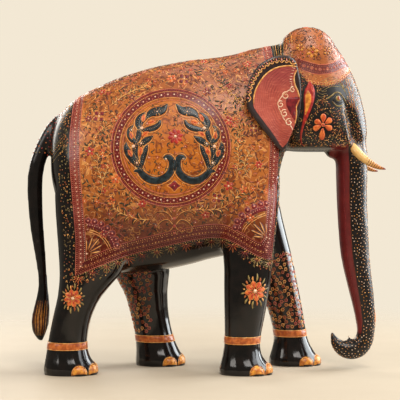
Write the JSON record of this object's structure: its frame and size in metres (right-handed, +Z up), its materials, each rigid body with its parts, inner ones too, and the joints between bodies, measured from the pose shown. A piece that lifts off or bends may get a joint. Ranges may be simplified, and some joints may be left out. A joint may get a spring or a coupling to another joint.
{
  "type": "elephant statuette",
  "caption": "Free-standing carved and painted wooden elephant in a walking pose, with a painted saddle cloth, long hanging trunk, tusks and tail.",
  "frame": {"origin": "on the ground, under the middle of the animal's bounding box", "axes": "+X towards the head and trunk, +Y to the animal's left-hand side, +Z up"},
  "size_m": [0.3924, 0.142, 0.3754],
  "materials": {
    "cloth_paint": "gloss lacquer over painted pattern",
    "face_paint": "gloss black lacquer with gilt dots",
    "leg_paint": "gloss black lacquer with painted flowers",
    "trunk_paint": "gloss black lacquer with gilt dots and a maroon stripe",
    "tail_paint": "gloss black lacquer",
    "ear_paint": "gloss lacquer over fine strokes",
    "tusk_paint": "gloss ivory-gold paint",
    "bare_wood": "bare turned dowel"
  },
  "bodies": {
    "root": {"torso": "cloth_paint", "head": "face_paint", "trunk": "trunk_paint", "tail": "tail_paint", "ear_right": "ear_paint", "ear_left": "ear_paint", "tusk_right": "tusk_paint", "tusk_left": "tusk_paint", "leg_front_right": "leg_paint", "leg_front_left": "leg_paint", "leg_hind_right": "leg_paint", "leg_hind_left": "leg_paint", "neck_dowel_upper": "bare_wood", "neck_dowel_lower": "bare_wood", "trunk_dowel": "bare_wood", "leg_dowel_front_right": "bare_wood", "leg_dowel_front_left": "bare_wood", "leg_dowel_hind_right": "bare_wood", "leg_dowel_hind_left": "bare_wood", "tail_dowel": "bare_wood", "ear_dowel_right": "bare_wood", "ear_dowel_left": "bare_wood"}
  },
  "joints": []
}
